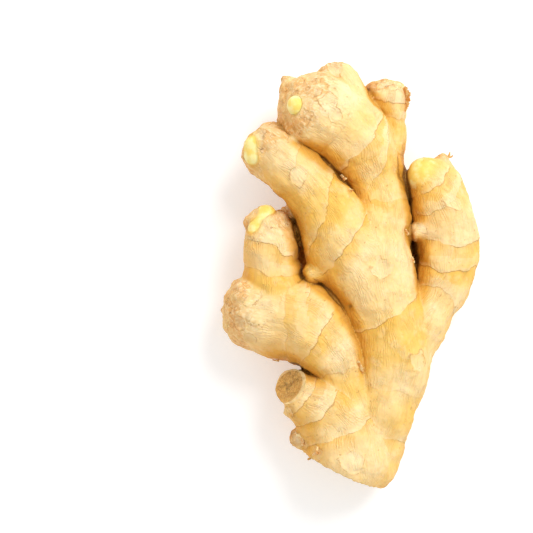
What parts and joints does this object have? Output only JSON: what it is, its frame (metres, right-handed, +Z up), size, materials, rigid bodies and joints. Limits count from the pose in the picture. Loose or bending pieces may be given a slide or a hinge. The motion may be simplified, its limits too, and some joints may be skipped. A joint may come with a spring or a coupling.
{
  "type": "ginger root",
  "caption": "Fresh ginger rhizome lying on its flats: stout ringed fingers, knobs and buds branching from a broken heel, in one piece.",
  "frame": {"origin": "middle of the root's bounding box, on the surface that it lies on", "axes": "+Y from the broken heel to the tips of the longest fingers, +X towards the outer side finger, +Z up"},
  "size_m": [0.0968, 0.1586, 0.0369],
  "materials": {
    "ginger_skin": "satin, thin papery buff skin over yellow flesh"
  },
  "bodies": {
    "root": {"ginger_root": "ginger_skin"}
  },
  "joints": []
}
